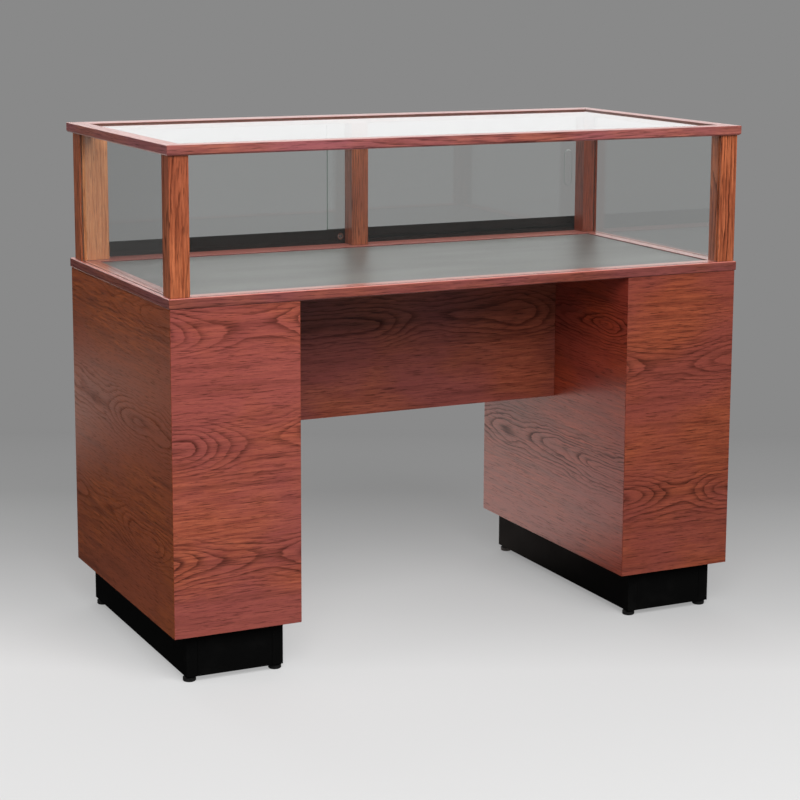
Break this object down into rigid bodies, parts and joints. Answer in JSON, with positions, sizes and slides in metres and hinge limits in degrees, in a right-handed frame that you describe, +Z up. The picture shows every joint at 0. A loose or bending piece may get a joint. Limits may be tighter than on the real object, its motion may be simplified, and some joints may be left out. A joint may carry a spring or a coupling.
{
  "type": "glass display case",
  "caption": "Kneehole display case: panelled wooden pedestals carry a wood-rimmed deck and a glazed box with sliding glass doors at the back.",
  "frame": {"origin": "on the floor under the middle of the case", "axes": "+X along the counter, to the right of a customer who faces it; +Y from the customer's side to the door side; +Z up"},
  "size_m": [1.222, 0.612, 1.006],
  "materials": {
    "stained_oak": "red-brown stained oak, satin lacquer",
    "post_oak": "red-brown stained solid oak, satin lacquer",
    "deck_laminate": "grey satin laminate",
    "plinth_black": "black laminate on board, satin",
    "clear_glass": "clear polished float glass",
    "black_anodised": "black anodised",
    "lock_chrome": "bright chrome",
    "foot_nylon": "black nylon",
    "glazing_seal": "grey silicone bead"
  },
  "bodies": {
    "case": {"left_pedestal_front": "stained_oak", "left_pedestal_back": "stained_oak", "left_pedestal_outer_side": "stained_oak", "left_pedestal_inner_side": "stained_oak", "left_pedestal_floor": "stained_oak", "left_pedestal_top": "stained_oak", "right_pedestal_front": "stained_oak", "right_pedestal_back": "stained_oak", "right_pedestal_outer_side": "stained_oak", "right_pedestal_inner_side": "stained_oak", "right_pedestal_floor": "stained_oak", "right_pedestal_top": "stained_oak", "left_plinth_front": "plinth_black", "left_plinth_back": "plinth_black", "left_plinth_outer_side": "plinth_black", "left_plinth_inner_side": "plinth_black", "right_plinth_front": "plinth_black", "right_plinth_back": "plinth_black", "right_plinth_outer_side": "plinth_black", "right_plinth_inner_side": "plinth_black", "modesty_panel": "stained_oak", "deck_rail_front": "stained_oak", "deck_rail_back": "stained_oak", "deck_rail_left": "stained_oak", "deck_rail_right": "stained_oak", "deck_panel": "deck_laminate", "post_front_left": "post_oak", "post_front_right": "post_oak", "post_back_left": "post_oak", "post_back_right": "post_oak", "post_back_middle": "post_oak", "door_jamb_left": "post_oak", "glass_front": "clear_glass", "glass_left": "clear_glass", "glass_right": "clear_glass", "glass_top": "clear_glass", "top_glass_seal": "glazing_seal", "top_rail_front": "stained_oak", "top_rail_back": "stained_oak", "top_rail_left": "stained_oak", "top_rail_right": "stained_oak", "door_track_lower": "black_anodised", "door_track_upper": "black_anodised"},
    "left_door": {"left_door_glass": "clear_glass", "left_door_shoe": "black_anodised", "lock_strike": "lock_chrome"},
    "right_door": {"right_door_glass": "clear_glass", "right_door_shoe": "black_anodised", "lock_sleeve": "lock_chrome"},
    "plunger": {"lock_plunger": "lock_chrome"},
    "foot_left_front_outer": {"left_foot_front_outer": "foot_nylon"},
    "foot_left_front_inner": {"left_foot_front_inner": "foot_nylon"},
    "foot_left_back_outer": {"left_foot_back_outer": "foot_nylon"},
    "foot_left_back_inner": {"left_foot_back_inner": "foot_nylon"},
    "foot_right_front_outer": {"right_foot_front_outer": "foot_nylon"},
    "foot_right_front_inner": {"right_foot_front_inner": "foot_nylon"},
    "foot_right_back_outer": {"right_foot_back_outer": "foot_nylon"},
    "foot_right_back_inner": {"right_foot_back_inner": "foot_nylon"}
  },
  "joints": [
    {"name": "left_door_slide", "type": "slide", "parent": "case", "child": "left_door", "axis": [1, 0, 0], "range_m": [0, 0.548]},
    {"name": "right_door_slide", "type": "slide", "parent": "case", "child": "right_door", "axis": [-1, 0, 0], "range_m": [0, 0.548]},
    {"name": "lock_push", "type": "slide", "parent": "right_door", "child": "plunger", "axis": [0, 1, 0], "range_m": [-0.0048, 0]},
    {"name": "foot_left_front_outer_screw", "type": "slide", "parent": "case", "child": "foot_left_front_outer", "axis": [0, 0, -1], "range_m": [0, 0.015]},
    {"name": "foot_left_front_inner_screw", "type": "slide", "parent": "case", "child": "foot_left_front_inner", "axis": [0, 0, -1], "range_m": [0, 0.015]},
    {"name": "foot_left_back_outer_screw", "type": "slide", "parent": "case", "child": "foot_left_back_outer", "axis": [0, 0, -1], "range_m": [0, 0.015]},
    {"name": "foot_left_back_inner_screw", "type": "slide", "parent": "case", "child": "foot_left_back_inner", "axis": [0, 0, -1], "range_m": [0, 0.015]},
    {"name": "foot_right_front_outer_screw", "type": "slide", "parent": "case", "child": "foot_right_front_outer", "axis": [0, 0, -1], "range_m": [0, 0.015]},
    {"name": "foot_right_front_inner_screw", "type": "slide", "parent": "case", "child": "foot_right_front_inner", "axis": [0, 0, -1], "range_m": [0, 0.015]},
    {"name": "foot_right_back_outer_screw", "type": "slide", "parent": "case", "child": "foot_right_back_outer", "axis": [0, 0, -1], "range_m": [0, 0.015]},
    {"name": "foot_right_back_inner_screw", "type": "slide", "parent": "case", "child": "foot_right_back_inner", "axis": [0, 0, -1], "range_m": [0, 0.015]}
  ]
}
